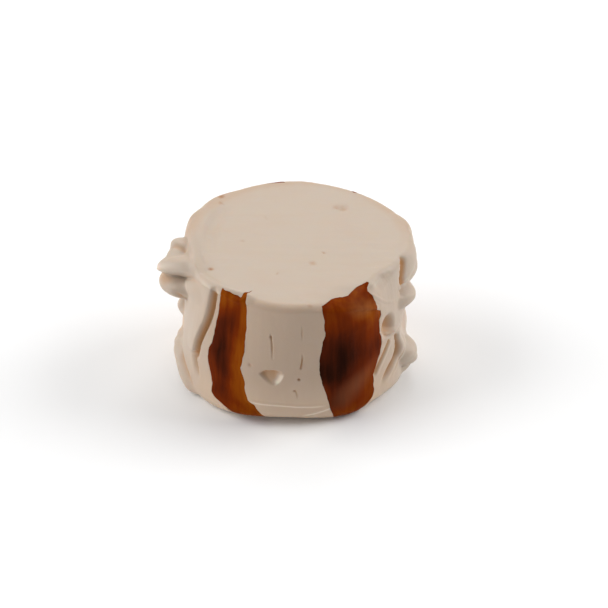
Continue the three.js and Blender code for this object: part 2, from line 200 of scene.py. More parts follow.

# Folds on the side: a path of angles and heights with a ridge on its left, seen from outside,
# and a groove along it; near and far are the groove's widths below the ridge and away from it.
# Angles past 360 go on round the rope. The fade is the share of the path in which each end dies away.
# A ridge with a drop is a lip: it is highest on the path and falls off within the drop.
# A groove with a power comes to a crease at its bottom, and the painted shading is how much painted shade
# darkens and warms its colour;
# below zero it paints a pale highlight instead. A lean pushes the ridge over the groove.
FOLDS = {
    # The tongue's rolled lower edge gets a painted highlight, paler than its shading alone would give
    "left_tongue": dict(
        path=[(183, 12.0), (187, 12.73), (191, 12.92), (196, 13.5), (202, 14.18), (208, 14.6)],
        lift=2.9, ridge=1.94, drop=0.5, depth=0.04, near=0.5, far=0.5, fade=(0.3, 0.6), painted_shading=-8,
    ),
    # A painted highlight below the lip, with almost no change of shape
    "left_lip_painted_highlight": dict(
        path=[(192, 12.4), (196, 12.4), (200, 12.6), (203, 12.9)],
        depth=0.02, near=0.5, far=0.8, fade=(0.3, 0.3), painted_shading=-9,
    ),
    # Painted warm shade under the tongue, with almost no change of shape
    "left_under_tongue": dict(
        path=[(181, 11.4), (186, 11.9), (191, 12.05), (198, 12.3)],
        depth=0.02, near=0.5, far=0.7, fade=(0.3, 0.3), painted_shading=20,
    ),
    "rim_lip": dict(
        path=[(191, 12.4), (196, 13.0), (202, 13.8), (208, 14.3), (215, 14.5)],
        depth=0.2, near=0.2, far=0.7, fade=(0.3, 0.3), painted_shading=1.2,
    ),
    "upper_trough": dict(
        path=[(180, 13.8), (183, 14.4), (187, 15.0)],
        depth=0.25, near=0.5, far=0.5, fade=(0.3, 0.3), painted_shading=1.6,
    ),
    "pocket": dict(
        path=[(198.8, 11.9), (199.7, 11.4), (200.5, 11.0), (200.8, 10.4)],
        depth=0.5, near=0.2, far=0.45, fade=(0.4, 0.3), power=1.5, painted_shading=1.4,
    ),
    "flap_edge": dict(
        path=[(214.2, 5.3), (214.7, 6.2), (215.6, 7.4), (218.5, 9.2), (221.0, 10.6), (222.6, 11.9),
              (223.5, 13.3), (223.9, 14.9)],
        lift=0.38, ridge=2.6, drop=0.4, depth=0.95, near=0.36, far=0.5, lean=0.1, fade=(0.12, 0.06),
        painted_shading=1.2,
    ),
    "flap_crease": dict(
        path=[(213.2, 6.2), (213.8, 5.2), (215.6, 4.1), (217.4, 2.9)],
        depth=0.6, near=0.28, far=0.8, fade=(0.05, 0.5), power=1.3, painted_shading=1.4,
    ),
    "left_foot_edge": dict(
        path=[(216, 0.8), (206, 1.9), (195, 3.2), (187, 4.4)],
        lift=0.7, ridge=1.4, depth=0.15, near=0.4, far=0.7, fade=(0.25, 0.3),
    ),
    "left_foot_shelf": dict(
        path=[(194, 4.8), (187, 4.2), (181, 3.6), (173, 3.2)],
        lift=0.3, ridge=0.9, depth=0.35, near=0.2, far=0.8, fade=(0.35, 0.3), painted_shading=0.3,
    ),
    "left_foot_line": dict(
        path=[(212.5, 1.5), (208, 1.95), (204.6, 2.3), (200.5, 2.7), (197.3, 3.2), (195, 4.1)],
        lift=0.15, ridge=0.5, depth=0.22, near=0.3, far=0.3, power=2, painted_shading=2.2,
    ),
    "left_back_rim_pleat": dict(
        path=[(144, 14.4), (152, 13.6), (160, 12.6), (167, 11.4)],
        lift=0.3, ridge=1.0, depth=0.5, near=0.5, far=0.9, lean=0.1, fade=(0.4, 0.3), painted_shading=0.4,
    ),
    "left_back_pleat": dict(
        path=[(140, 12.4), (150, 11.4), (160, 9.6), (170, 8.4)],
        lift=0.5, ridge=1.3, depth=0.8, near=0.7, far=0.5, lean=0.1, fade=(0.5, 0.3), painted_shading=0.4,
    ),
    "left_back_middle_pleat": dict(
        path=[(138, 7.2), (147, 7.6), (158, 7.9), (169, 7.4)],
        lift=0.45, ridge=1.1, depth=0.6, near=0.6, far=0.4, lean=0.1, fade=(0.5, 0.3), painted_shading=0.4,
    ),
    "left_back_low_pleat": dict(
        path=[(143, 2.6), (152, 4.4), (161, 5.6), (169, 6.6)],
        lift=0.5, ridge=1.2, depth=0.8, near=0.7, far=0.5, lean=0.1, fade=(0.5, 0.3), painted_shading=0.4,
    ),
    "left_back_foot_pleat": dict(
        path=[(150, 1.0), (158, 2.2), (166, 3.6), (172, 4.8)],
        lift=0.35, ridge=0.9, depth=0.5, near=0.5, far=0.4, fade=(0.4, 0.4), painted_shading=0.4,
    ),
    "right_slit": dict(
        path=[(345.5, 15.3), (344, 14.5), (342.5, 13.5), (341.5, 12.3), (341.3, 11.5)],
        depth=0.5, near=0.9, far=0.3, fade=(0.06, 0.1), painted_shading=3.2,
    ),
    "right_neck": dict(
        path=[(340, 11.4), (345, 11.6), (353, 11.8)],
        lift=0.2, ridge=0.7, depth=0.8, near=0.3, far=1.0, fade=(0.1, 0.6), painted_shading=0.5,
    ),
    "right_facet_edge": dict(
        path=[(312, 14.6), (317.5, 13.6), (324.2, 12.2), (329, 11.4), (334, 10.7)],
        lift=0.08, ridge=0.3, fade=(0.1, 0.35),
    ),
    "right_recess_edge": dict(
        path=[(322.5, 7.9), (328.7, 7.6), (340, 7.3)],
        lift=0.35, ridge=0.35, depth=0.1, near=0.2, far=0.4, fade=(0.2, 0.5),
    ),
    "right_inner_groove": dict(
        path=[(325.6, 7.3), (324, 6.98), (319.2, 6.02), (314.3, 4.94), (311.6, 4.0)],
        lift=0.12, ridge=0.5, depth=0.3, near=0.35, far=0.25, fade=(0.15, 0.2), power=1.5, painted_shading=3.5,
    ),
    "right_foot_edge": dict(
        path=[(331.5, 7.2), (332.3, 6.3), (331.4, 5.4), (328, 4.6), (323, 3.9), (318.8, 3.1), (316, 2.2)],
        lift=0.3, ridge=0.9, depth=0.65, near=0.6, far=0.25, lean=0.1, fade=(0.08, 0.4), power=1.5,
        painted_shading=1.8,
    ),
    "right_outer_groove": dict(
        path=[(337, 5.4), (334.3, 4.6), (330.5, 3.6), (326, 3.0), (322, 2.5)],
        lift=0.15, ridge=0.5, depth=0.25, near=0.35, far=0.25, fade=(0.3, 0.5), power=2, painted_shading=2.5,
    ),
    "right_foot_under": dict(
        path=[(336, 2.3), (342, 1.8), (351, 1.8)],
        lift=0.1, ridge=0.7, depth=0.2, near=0.3, far=0.9, fade=(0.3, 0.3), painted_shading=0.3,
    ),
    "right_knob_tail": dict(
        path=[(354, 8.8), (360, 8.3), (366, 7.9), (374, 7.5)],
        lift=0.2, ridge=0.8, depth=0.3, near=0.3, far=0.7, fade=(0.2, 0.5), painted_shading=0.5,
    ),
    "right_foot_tail": dict(
        path=[(346, 3.2), (353, 2.8), (360, 2.6), (371, 2.3)],
        lift=0.12, ridge=0.9, depth=0.3, near=0.3, far=0.6, fade=(0.3, 0.5), painted_shading=0.5,
    ),
    "right_back_rim_pleat": dict(
        path=[(8, 11.6), (14, 12.8), (22, 13.8), (31, 14.5)],
        lift=0.25, ridge=1.0, depth=0.5, near=0.5, far=0.8, lean=0.1, fade=(0.3, 0.4), painted_shading=0.4,
    ),
    "right_back_pleat": dict(
        path=[(4, 8.4), (14, 9.8), (25, 11.6), (36, 12.4)],
        lift=0.5, ridge=1.3, depth=0.8, near=0.7, far=0.5, lean=0.1, fade=(0.3, 0.5), painted_shading=0.4,
    ),
    "right_back_middle_pleat": dict(
        path=[(6, 7.2), (16, 7.6), (28, 7.4), (38, 6.8)],
        lift=0.45, ridge=1.1, depth=0.6, near=0.6, far=0.4, lean=0.1, fade=(0.3, 0.5), painted_shading=0.4,
    ),
    "right_back_low_pleat": dict(
        path=[(4, 6.2), (14, 5.4), (24, 4.2), (34, 2.4)],
        lift=0.5, ridge=1.2, depth=0.8, near=0.5, far=0.7, lean=0.1, fade=(0.3, 0.5), painted_shading=0.4,
    ),
    "back_left_crack": dict(
        path=[(79.5, 11.4), (80, 10.2), (79.7, 8.7)],
        depth=0.2, near=0.12, far=0.12, fade=(0.3, 0.4), painted_shading=3,
    ),
    "back_right_crack": dict(
        path=[(93, 6.8), (92.5, 5.9), (92.8, 4.8)],
        depth=0.2, near=0.12, far=0.12, fade=(0.4, 0.3), painted_shading=3,
    ),
    # A pale line along this crease: a painted highlight
    "back_base_crease": dict(
        path=[(68, 2.5), (77, 2.3), (87, 2.3), (98, 2.6)],
        lift=0.1, ridge=0.25, depth=0.04, near=0.2, far=0.2, fade=(0.2, 0.2), painted_shading=-12,
    ),
    "right_stripe_crease": dict(
        path=[(296, 14.0), (303, 13.7), (310, 12.9), (317.5, 12.0)],
        lift=0.14, ridge=0.5, depth=0.08, near=0.15, far=0.35, fade=(0.3, 0.2),
    ),
    # A pale line along the rim's lip: a painted highlight
    "stripe_lip": dict(
        path=[(206, 14.7), (217, 14.6), (227, 14.6), (237, 14.25), (247, 14.6)],
        lift=0.2, ridge=0.5, depth=0.03, near=0.6, far=0.15, lean=0.1, fade=(0.3, 0.15), painted_shading=-6,
    ),
    # These two creases are painted pale along their length: painted highlights
    "base_crease": dict(
        path=[(246.5, 2.65), (254, 2.5), (262, 2.4), (270, 2.25), (278, 2.25), (285, 2.3)],
        lift=0.1, ridge=0.25, depth=0.04, near=0.2, far=0.2, fade=(0.1, 0.2), painted_shading=-14,
    ),
    "base_slant_crease": dict(
        path=[(272, 0.9), (280, 1.45), (287, 1.95)],
        lift=0.12, ridge=0.25, depth=0.04, near=0.22, far=0.22, fade=(0.2, 0.1), painted_shading=-16,
    ),
    # Painted shade darkens and warms the dent
    "front_dent": dict(
        path=[(251.4, 6.3), (253.5, 6.7), (255.6, 6.85), (259, 6.9), (262.6, 6.85)],
        depth=0.42, near=0.18, far=1.65, fade=(0.2, 0.3), power=0.6, painted_shading=1.5,
    ),
    # A painted highlight on the dent's lower flank
    "front_dent_flank": dict(
        path=[(263.2, 6.8), (262.2, 6.1), (260.5, 5.5), (258.5, 5.1)],
        depth=0.05, near=0.15, far=0.75, fade=(0.3, 0.3), painted_shading=-14,
    ),
    "left_crack": dict(
        path=[(256.5, 11.6), (257.2, 10.66), (257.5, 9.57), (257.7, 8.3)],
        depth=0.22, near=0.11, far=0.11, fade=(0.25, 0.4), painted_shading=3,
    ),
    "right_crack": dict(
        path=[(272.6, 9.3), (272.3, 8.23), (271.5, 7.2)],
        depth=0.24, near=0.13, far=0.13, fade=(0.5, 0.2), painted_shading=3,
    ),
    "right_upper_crack": dict(
        path=[(272.6, 12.9), (272.3, 11.7), (272.6, 10.7)],
        depth=0.12, near=0.12, far=0.12, fade=(0.5, 0.5), painted_shading=3,
    ),
    "low_crack": dict(
        path=[(268.6, 4.5), (269.3, 4.35), (270.2, 3.3)],
        depth=0.16, near=0.1, far=0.1, fade=(0.15, 0.3), painted_shading=3,
    ),
}

# Folds on the top face: the same, with paths of angles and radii
TOP_FOLDS = {
    "left_trough": dict(
        path=[(136, 10.2), (164, 9.4), (196, 9.2)],
        depth=0.34, near=1.1, far=1.1, painted_shading=0.3,
    ),
    "left_ridge": dict(
        path=[(211, 11.1), (204, 10.8), (196, 10.6), (186, 10.5), (174, 10.7), (160, 11.2)],
        lift=0.45, ridge=0.6, depth=0.15, near=0.4, far=0.8, fade=(0.2, 0.35), painted_shading=0.4,
    ),
    "facet_arc": dict(
        path=[(314, 10.9), (317, 10.6), (321, 10.25), (326.5, 10.1), (330, 10.4), (333, 10.8), (337, 11.3)],
        lift=0.24, ridge=1.6, drop=0.36, fade=(0.2, 0.2),
    ),
    "front_left_lip": dict(
        path=[(248, 10.5), (240, 10.5), (228, 10.8), (216, 11.1), (206, 11.2), (196, 11.0)],
        lift=0.35, ridge=0.6, fade=(0.2, 0.2),
    ),
    "rim_crease": dict(
        path=[(268, 10.0), (273.1, 10.7), (279, 11.1)],
        lift=0.06, ridge=0.3, depth=0.1, near=0.25, far=0.25,
    ),
}

# Points on a fold's path between two of its corners, and how far beside the path a ridge's crest and
# its lean are, as shares of the ridge's width
PATH_STEPS = 12
CREST_SHARE = 0.6
LEAN_SHARE = 0.5

# The top's rim slopes down over the right front stripe, at the facet beside it and at the left crumple
RIM_SLOPES = [
    dict(angle=303, half=30, inner_radius=8.6, width=3.0, drop=0.9, power=1.5),
    dict(angle=184, half=20, inner_radius=11.2, width=1.6, drop=0.7, power=1.5),
    dict(angle=326, half=13, inner_radius=10.0, width=1.4, drop=1.15, power=1.0),
]
RIM_SLOPE_FROM_HEIGHT = 11.0

# The base's edge lifts off under both crumples, beside the right front stripe and along the front
BASE_LIFTS = [
    dict(angle=183, half=35, lift=1.6),
    dict(angle=352, half=36, lift=0.6),
    dict(angle=318, half=18, lift=0.5),
    dict(angle=257, half=38, lift=0.6),
]
BASE_LIFT_RADIUS = 7.5
BASE_LIFT_WIDTH = 4.0
BASE_LIFT_HEIGHT = 7.0

# Exponent of the rounded box that gives the outward direction at any point off the axis
OUTWARD_POWER = 7
AXIS_CLEARANCE = 1e-6

# Unevenness of the body: height, lengths of the waves along X, Y and Z, and seed
BROAD_WAVES = (0.05, (3.5, 3.5, 5.0), 2.1)
KNIFE_DRAG = (0.04, (6.0, 0.8, 6.0), 7.7)
PULL_LINES = (0.018, (0.7, 0.7, 6.0), 4.3)

# Unevenness of the stripes; each stripe has its own height of wrinkles
STRIPE_WRINKLES = ((1.0, 1.0, 1.8), 3.3)
STRIPE_PULL_LINES = (0.02, (0.35, 0.35, 4.0), 8.8)

# The cut face's marks and colour fade out within this depth and this far from the plain rope's side
CUT_FACE_DEPTH = 0.5
CUT_FACE_MARGIN = 1.2

# Light and shade painted into the cream's colour: angles of the crumples' middles with half their widths,
# how much painted light pales them and the ridges, the painted floor bounce that brightens and warms the
# cream above the base, and the ridge height and painted shade that give the full colour
CRUMPLES = [(200, 34), (345, 42)]
CRUMPLE_PAINTED_LIGHT = 0.9
RIDGE_PAINTED_HIGHLIGHT = 0.5
FULL_RIDGE = 0.8
FULL_PAINTED_SHADING = 1.1
LOW_PAINTED_BOUNCE = 1.3
LOW_PAINTED_BOUNCE_HEIGHT = 7

# Caramel flecks and pits: angle, radius, height, size, strength of the colour and depth
FLECKS = [
    (132.5, 12.0, CUT_HEIGHT, 0.50, 0.9, 0.05),
    (137.0, 11.0, CUT_HEIGHT, 0.35, 0.7, 0.05),
    (207.7, 10.2, CUT_HEIGHT, 0.40, 0.9, 0.08),
    (53.9, 8.1, CUT_HEIGHT, 0.75, 0.35, 0.22),
    (58.5, 7.9, CUT_HEIGHT, 0.55, 0.30, 0.18),
    (293.4, 4.0, CUT_HEIGHT, 0.55, 0.40, 0.05),
    (327.4, 3.2, CUT_HEIGHT, 0.25, 0.6, 0.08),
    (249.5, 6.0, CUT_HEIGHT, 0.20, 0.35, 0.05),
    (125.1, 5.8, CUT_HEIGHT, 0.30, 0.25, 0.04),
    (175.8, 5.8, CUT_HEIGHT, 0.40, 0.25, 0.03),
    (270.8, 12.1, 5.97, 0.22, 0.95, 0.20),
    (268.5, 12.15, 4.45, 0.20, 0.6, 0.12),
    (256.7, 12.0, 11.1, 0.22, 0.5, 0.10),
    (246.5, 12.3, 7.3, 0.30, 0.25, 0.10),
    (276.5, 11.3, 14.7, 0.40, 0.35, 0.02),
    (84.0, 11.9, 6.9, 0.22, 0.8, 0.15),
    (90.5, 11.9, 12.3, 0.20, 0.5, 0.10),
]


def clamp01(value):
    return np.clip(value, 0.0, 1.0)


def bump(t):
    """One in the middle, falling smoothly to zero at one and beyond."""
    return (1 - np.minimum(t * t, 1)) ** 2


def crease(t, power):
    """A bump that comes to a point in the middle."""
    return (1 - np.minimum(np.abs(t), 1)) ** power


def ease(t):
    """A smooth step from zero to one."""
    return clamp01(t) ** 2 * (3 - 2 * clamp01(t))


def between(a, b, c, d, f):
    """Smooth curve through four neighbouring values, at f between the middle two."""
    slope = c - a + f * (2 * a - 5 * b + 4 * c - d + f * (3 * (b - c) + d - a))
    return b + 0.5 * f * slope


def outline_radius(radii, angle):
    """A radius of a closed outline at any angle."""
    radii = np.asarray(radii, float)
    count = len(radii)
    place = np.mod(np.asarray(angle) / 360 * count, count)
    index = np.floor(place).astype(int)
    near = [radii[(index + step) % count] for step in (-1, 0, 1, 2)]
    return between(*near, place - index)


def along(values, share):
    """A value at a share of the way along an open list."""
    values = np.asarray(values, float)
    last = len(values) - 1
    place = clamp01(np.asarray(share, float)) * last
    index = np.minimum(np.floor(place).astype(int), last - 1)
    near = [values[np.clip(index + step, 0, last)] for step in (-1, 0, 1, 2)]
    return between(*near, place - index)


def rope_radius(angle, height):
    """Radius of the squashed rope: a smooth blend of the three outlines."""
    t = clamp01(height / CUT_HEIGHT)
    base = outline_radius(BASE_OUTLINE, angle) * (1 - t) * (1 - 2 * t)
    waist = outline_radius(WAIST_OUTLINE, angle) * 4 * t * (1 - t)
    top = outline_radius(TOP_OUTLINE, angle) * t * (2 * t - 1)
    return base + waist + top


def polar_points(angle, radius, height):
    turn = np.radians(angle)
    return np.stack([radius * np.cos(turn), radius * np.sin(turn), height + 0 * turn], axis=-1)


def side_points(angle, height):
    """Points on the squashed rope's side."""
    return polar_points(angle, rope_radius(angle, height), height)


def top_points(angle, radius):
    """Points on the upper cut face."""
    return polar_points(angle, radius, CUT_HEIGHT)


def angle_of(points):
    return np.degrees(np.arctan2(points[:, 1], points[:, 0])) % 360


def radius_of(points):
    return np.hypot(points[:, 0], points[:, 1])


def turn_from(angle, middle):
    """The shorter way round from the middle to an angle, in degrees."""
    return np.mod(angle - middle + 180, 360) - 180


def outward(points):
    """Outward directions near the surface, turning smoothly round the edges."""
    radius = np.maximum(radius_of(points), AXIS_CLEARANCE)
    reach = rope_radius(angle_of(points), points[:, 2])
    rise = (points[:, 2] - CUT_HEIGHT / 2) / (CUT_HEIGHT / 2)
    side = (radius / reach) ** (OUTWARD_POWER - 1) / reach
    cap = np.abs(rise) ** (OUTWARD_POWER - 1) * np.sign(rise) / (CUT_HEIGHT / 2)
    normals = np.stack([side * points[:, 0] / radius, side * points[:, 1] / radius, cap], axis=-1)
    return normals / np.linalg.norm(normals, axis=1, keepdims=True)


def fold_chain(path, place):
    """A fold's path as a chain of points on the rope's surface."""
    first, second = zip(*path)
    share = np.linspace(0, 1, PATH_STEPS * (len(path) - 1) + 1)
    return place(along(first, share), along(second, share))


def closest_on_chain(chain, points):
    """Distance, closest place, travel direction and share of the way for each point."""
    best = np.full(len(points), np.inf)
    spot = np.zeros_like(points)
    travel = np.zeros_like(points)
    share = np.zeros(len(points))
    for index, (a, b) in enumerate(zip(chain, chain[1:])):
        step = b - a
        t = clamp01((points - a) @ step / (step @ step))
        place = a + t[:, None] * step
        distance = np.linalg.norm(points - place, axis=1)
        closer = distance < best
        best[closer] = distance[closer]
        spot[closer] = place[closer]
        travel[closer] = step / np.linalg.norm(step)
        share[closer] = (index + t[closer]) / (len(chain) - 1)
    return best, spot, travel, share


def fold_moves(points, normals, place, path, lift=0.0, ridge=1.0, depth=0.0, near=0.5, far=0.5,
               drop=None, lean=0.0, fade=(0.25, 0.35), power=None, painted_shading=1.0):
    """How far a fold moves each point, with the height of its ridge and the painted shade along it, a
    painted highlight where that is below zero.
    """
    chain = fold_chain(path, place)
    reach = max(near, far, (1 + CREST_SHARE) * ridge)
    low = chain.min(axis=0) - reach
    high = chain.max(axis=0) + reach
    close = np.flatnonzero(np.all((points > low) & (points < high), axis=1))
    moves = np.zeros_like(points)
    ups = np.zeros(len(points))
    painted_fold_shading = np.zeros(len(points))
    if not len(close):
        return moves, ups, painted_fold_shading
    distance, spot, travel, share = closest_on_chain(chain, points[close])
    across = np.cross(normals[close], travel)
    left = np.einsum("ij,ij->i", points[close] - spot, across) >= 0
    offset = np.where(left, distance, -distance)
    weight = ease(share / fade[0]) * ease((1 - share) / fade[1])
    if drop:
        ramp = offset / np.where(left, ridge, drop)
    else:
        ramp = (offset - CREST_SHARE * ridge) / ridge
    up = weight * lift * bump(ramp)
    way = offset / np.where(left, near, far)
    down = weight * depth * (crease(way, power) if power else bump(way))
    shift = weight * lean * bump((offset - LEAN_SHARE * ridge) / ridge)
    moves[close] = (up - down)[:, None] * normals[close] - shift[:, None] * across
    ups[close] = up
    painted_fold_shading[close] = painted_shading * down
    return moves, ups, painted_fold_shading


def lobe_lifts(points, angle, height, half, lift, power=LOBE_POWER, painted_shading=HOLLOW_PAINTED_SHADING):
    """How far a lobe or dent lifts each point, and the painted shade in the dent."""
    turn = math.radians(angle)
    offset = points - side_points(np.array([angle]), height)
    radial = offset[:, 0] * math.cos(turn) + offset[:, 1] * math.sin(turn)
    around = offset[:, 1] * math.cos(turn) - offset[:, 0] * math.sin(turn)
    t = np.sqrt((around / half[0]) ** 2 + (offset[:, 2] / half[1]) ** 2 + (radial / max(half)) ** 2)
    lifts = lift * (1 - np.minimum(t * t, 1)) ** power
    return lifts, painted_shading * np.maximum(-lifts, 0)


def edge_rises(points):
    """How far the sloping rim and the lifted base edge move each point up."""
    radius = radius_of(points)
    angle = angle_of(points)
    height = points[:, 2]
    rim_height = clamp01((height - RIM_SLOPE_FROM_HEIGHT) / (CUT_HEIGHT - RIM_SLOPE_FROM_HEIGHT))
    base_way = clamp01((radius - BASE_LIFT_RADIUS) / BASE_LIFT_WIDTH) ** 2
    base_height = clamp01(1 - height / BASE_LIFT_HEIGHT) ** 2
    rise = np.zeros(len(points))
    for rim in RIM_SLOPES:
        rim_way = clamp01((radius - rim["inner_radius"]) / rim["width"]) ** rim["power"]
        rise -= rim["drop"] * bump(turn_from(angle, rim["angle"]) / rim["half"]) * rim_way * rim_height
    for edge in BASE_LIFTS:
        rise += edge["lift"] * bump(turn_from(angle, edge["angle"]) / edge["half"]) * base_way * base_height
    return rise


def squash(points):
    """Moves points of the plain round rope onto the squashed one."""
    scale = rope_radius(angle_of(points), points[:, 2]) / ROPE_RADIUS
    return points * np.stack([scale, scale, np.ones(len(points))], axis=-1)


def crumple(points):
    """Moves points of the plain rope to the crumpled piece. Gives the points of the squashed rope and
    their outward directions, the moved points, how high the ridges are, and how much painted shade the
    folds and dents put into the colour, with painted highlights below zero."""
    p = squash(points)
    normals = outward(p)
    moved = p.copy()
    ridges = np.zeros(len(p))
    painted_shading_total = np.zeros(len(p))
    for lobe in LOBES.values():
        lift, painted_dent_shade = lobe_lifts(p, **lobe)
        moved += lift[:, None] * normals
        ridges += np.maximum(lift, 0)
        painted_shading_total += painted_dent_shade
    side_folds = [(side_points, fold) for fold in FOLDS.values()]
    top_folds = [(top_points, fold) for fold in TOP_FOLDS.values()]
    for place, fold in side_folds + top_folds:
        moves, ups, painted_fold_shading = fold_moves(p, normals, place, **fold)
        moved += moves
        ridges += ups
        painted_shading_total += painted_fold_shading
    moved[:, 2] += edge_rises(p)
    return p, normals, moved, ridges, painted_shading_total


def settle(moved):
    """Keeps points on or above the floor and puts the rope's axis in its place."""
    moved[:, 2] = np.maximum(moved[:, 2], 0)
    moved[:, 0] += ROPE_AXIS_X
    return moved * METRES


def mesh_points(mesh):
    """All points of a mesh, one row each."""
    flat = np.empty(len(mesh.vertices) * 3)
    mesh.vertices.foreach_get("co", flat)
    return flat.reshape(-1, 3)


def set_points(mesh, points):
    mesh.vertices.foreach_set("co", points.ravel())
    mesh.update()


def set_attribute(mesh, name, values):
    """Stores one number for each point, which a material reads by name."""
    layer = mesh.attributes.new(name, "FLOAT", "POINT")
    layer.data.foreach_set("value", np.asarray(values, dtype=np.float32))


def link_mesh(name, bm):
    """Puts a finished bmesh into the scene."""
    mesh = bpy.data.meshes.new(name)
    bm.to_mesh(mesh)
    bm.free()
    piece = bpy.data.objects.new(name, mesh)
    bpy.context.collection.objects.link(piece)
    return piece


def plain_rope():
    """The plain round rope between its cuts: a profile with two rounded corners, spun round."""
    bm = bmesh.new()
    corners = [(0, 0), (ROPE_RADIUS, 0), (ROPE_RADIUS, CUT_HEIGHT), (0, CUT_HEIGHT)]
    verts = [bm.verts.new((x, 0, z)) for x, z in corners]
    for pair in zip(verts, verts[1:]):
        bm.edges.new(pair)
    for corner, size in ((verts[1], BASE_EDGE), (verts[2], TOP_EDGE)):
        bmesh.ops.bevel(bm, geom=[corner], offset=size, offset_type="OFFSET", segments=EDGE_SEGMENTS,
                        profile=0.5, affect="VERTICES", material=-1)
    for edge in [e for e in bm.edges if e.calc_length() > BASE_EDGE]:
        heights = [vert.co.z for vert in edge.verts]
        step = BASE_STEP if max(heights) < BASE_EDGE else TOP_STEP
        step = SIDE_STEP if heights[0] != heights[1] else step
        bmesh.ops.subdivide_edges(bm, edges=[edge], cuts=round(edge.calc_length() / step))
    bmesh.ops.spin(bm, geom=bm.verts[:] + bm.edges[:], cent=(0, 0, 0), axis=(0, 0, 1),
                   angle=2 * math.pi, steps=COLUMNS, use_merge=True, use_duplicate=False)
    bmesh.ops.remove_doubles(bm, verts=bm.verts, dist=MERGE_DISTANCE)
    for vert in bm.verts:
        turn = math.atan2(vert.co.y, vert.co.x)
        radius = math.hypot(vert.co.x, vert.co.y)
        crowded = turn - FRONT_CROWDING * math.cos(turn)
        vert.co.x = radius * math.cos(crowded)
        vert.co.y = radius * math.sin(crowded)
    bmesh.ops.recalc_face_normals(bm, faces=bm.faces)
    return link_mesh("cream_body", bm)


def rim_spots(runs):
    """Radii and heights on the rope's edge, at runs in millimetres from where the base's edge starts."""
    base_arc = BASE_EDGE * math.pi / 2
    side = CUT_HEIGHT - BASE_EDGE - TOP_EDGE
    top_arc = TOP_EDGE * math.pi / 2
    base_turn = np.minimum(runs, base_arc) / BASE_EDGE
    top_turn = np.clip(runs - base_arc - side, 0, top_arc) / TOP_EDGE
    over = np.maximum(runs - base_arc - side - top_arc, 0)
    radii = ROPE_RADIUS - BASE_EDGE * (1 - np.sin(base_turn)) - TOP_EDGE * (1 - np.cos(top_turn)) - over
    straight = np.clip(runs - base_arc, 0, side)
    heights = BASE_EDGE * (1 - np.cos(base_turn)) + straight + TOP_EDGE * np.sin(top_turn)
    return radii, heights


def waves(points, sizes, seed):
    """Smooth noise between -1 and 1; sizes are the lengths of its waves along X, Y and Z."""
    places = points / np.asarray(sizes) + seed
    return np.array([noise.noise(Vector(place)) for place in places])


def uneven(points, height, sizes, seed):
    """Waves of a height in millimetres."""
    return height * waves(points, sizes, seed)


def ragged(places, seed):
    """A wavy, nibbled line: long waves with finer ones on them."""
    line = np.stack([places, 0 * places, 0 * places], axis=-1)
    nibbles = waves(line, (NIBBLE_WAVE, 1, 1), seed + 5)
    return waves(line, (RAGGED_WAVE, 1, 1), seed) + NIBBLE_SHARE * nibbles


def stripe_tones(stripe, share, up, seed):
    """How amber the caramel is, streaked along the pull and dark where it is thick, and how much painted
    sheen lies on it.
    """
    place = np.stack([share, up, 0 * up], axis=-1)
    blotch = waves(place, BLOTCH_WAVES, seed + 7)
    streak = STREAK_STRENGTH * waves(place, STREAK_WAVES, seed)
    fine_streak = FINE_STREAK_STRENGTH * waves(place, FINE_STREAK_WAVES, seed + 3)
    tone = stripe["tone"] + streak + fine_streak + BLOTCH_STRENGTH * blotch
    painted_sheen = np.zeros(len(share))
    for pool in stripe["pools"]:
        across = share - pool["at"][0]
        rise = up - pool["at"][1] - pool.get("slope", 0.0) * across
        way = np.hypot(across / pool["half"][0], rise / pool["half"][1])
        reach = bump(way + POOL_RAGGEDNESS * blotch)
        tone = tone - pool["darker"] * reach
        painted_sheen = painted_sheen + pool.get("painted_sheen", 0.0) * reach
    return clamp01(tone), clamp01(painted_sheen)


def stripe_edges(stripe, run, gap, seed):
    """Angles of both ragged edges at runs along the profile, moved apart by the gap."""
    start_sway = stripe["wobble"] * ragged(run, seed + 2) - gap
    end_sway = stripe["wobble"] * ragged(run, seed + 3) + gap
    start = np.interp(run, *zip(*stripe["start"])) + np.degrees(start_sway / ROPE_RADIUS)
    end = np.interp(run, *zip(*stripe["end"])) + np.degrees(end_sway / ROPE_RADIUS)
    return start, end


